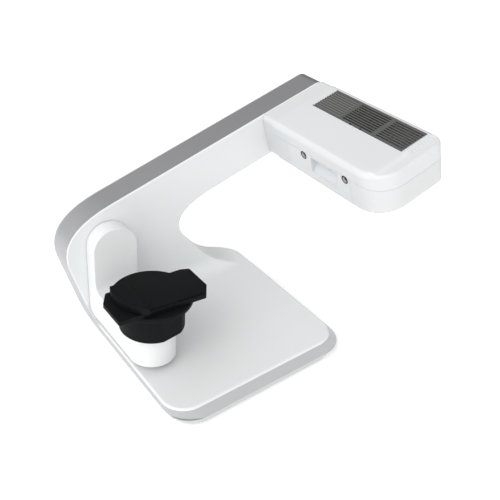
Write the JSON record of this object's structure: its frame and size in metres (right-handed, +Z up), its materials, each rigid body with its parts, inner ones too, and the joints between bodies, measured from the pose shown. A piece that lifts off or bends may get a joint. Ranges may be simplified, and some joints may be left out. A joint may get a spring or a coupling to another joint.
{
  "type": "desktop 3d scanner",
  "caption": "Desktop 3D scanner: white C-shaped stand with a grey metal edge band, an overhanging scan head with a slotted grille and a black turntable on a swinging bracket.",
  "frame": {"origin": "middle of the whole object seen from above, at table level under the feet", "axes": "+X along the base's front edge towards the head's free side, +Y from the base's front to the wall, +Z up"},
  "size_m": [0.4088, 0.2582, 0.268],
  "materials": {
    "white_plastic": "fine satin white",
    "bright_white_plastic": "semi-gloss white",
    "tray_plastic": "matt off-white",
    "band_metal": "satin silver grey",
    "black_plastic": "fine matt black",
    "grille_plastic": "matt dark grey",
    "rubber_black": "matt",
    "circuit_board": "solder resist",
    "steel": "machined",
    "aluminium": "anodised",
    "lens_glass": "coated",
    "gear_plastic": "natural acetal"
  },
  "bodies": {
    "stand": {"front_shell": "white_plastic", "edge_band": "band_metal", "rear_cover": "white_plastic", "base_tray": "tray_plastic", "ballast_plate": "steel", "foot_front_left": "rubber_black", "foot_front_right": "rubber_black", "foot_rear_left": "rubber_black", "foot_rear_right": "rubber_black", "dc_inlet": "black_plastic", "usb_socket": "aluminium", "controller_board": "circuit_board", "swing_bearing": "steel", "swing_motor": "steel", "head_mount_plate": "steel", "head_neck": "white_plastic", "head_upper_shell": "bright_white_plastic", "head_lower_shell": "white_plastic", "lens_bezel": "bright_white_plastic", "top_grille": "grille_plastic", "camera_left": "black_plastic", "camera_right": "black_plastic", "camera_lens_left": "lens_glass", "camera_lens_right": "lens_glass", "projector": "aluminium", "projector_lens": "lens_glass", "optical_bench": "aluminium", "head_board": "circuit_board", "fan_frame": "black_plastic"},
    "bracket": {"swing_bracket": "white_plastic", "bracket_cover": "tray_plastic", "swing_shaft": "steel", "swing_gear": "gear_plastic", "turntable_motor": "steel", "turntable_bearing": "steel"},
    "turntable": {"turntable_spindle": "steel", "turntable_drum": "black_plastic", "turntable_disc": "black_plastic", "model_plate": "black_plastic", "clamp_jaw": "black_plastic"},
    "pinion": {"motor_pinion": "steel"},
    "fan": {"fan_rotor": "black_plastic"},
    "button": {"power_button": "bright_white_plastic"}
  },
  "joints": [
    {"name": "bracket_swing", "type": "hinge", "parent": "stand", "child": "bracket", "pos_m": [-0.14575, 0.08575, 0.1405], "axis": [0, 1, 0], "range_deg": [-34.9, 25.1]},
    {"name": "turntable_spin", "type": "hinge", "parent": "bracket", "child": "turntable", "pos_m": [-0.15023, -0.02455, 0.08819], "axis": [0.0854, 0, 0.9963], "continuous": true},
    {"name": "pinion_spin", "type": "hinge", "parent": "stand", "child": "pinion", "pos_m": [-0.12175, 0.10105, 0.1405], "axis": [0, 1, 0], "range_deg": [-102, 141]},
    {"name": "fan_spin", "type": "hinge", "parent": "stand", "child": "fan", "pos_m": [0.16127, -0.02745, 0.24886], "axis": [-0.2436, 0, 0.9699], "continuous": true},
    {"name": "button_press", "type": "slide", "parent": "stand", "child": "button", "axis": [0, -1, 0], "range_m": [0, 0.0012], "stiffness_N_per_m": 400}
  ],
  "couplings": [
    {"joint": "pinion_spin", "follows": "bracket_swing", "ratio": -4}
  ]
}
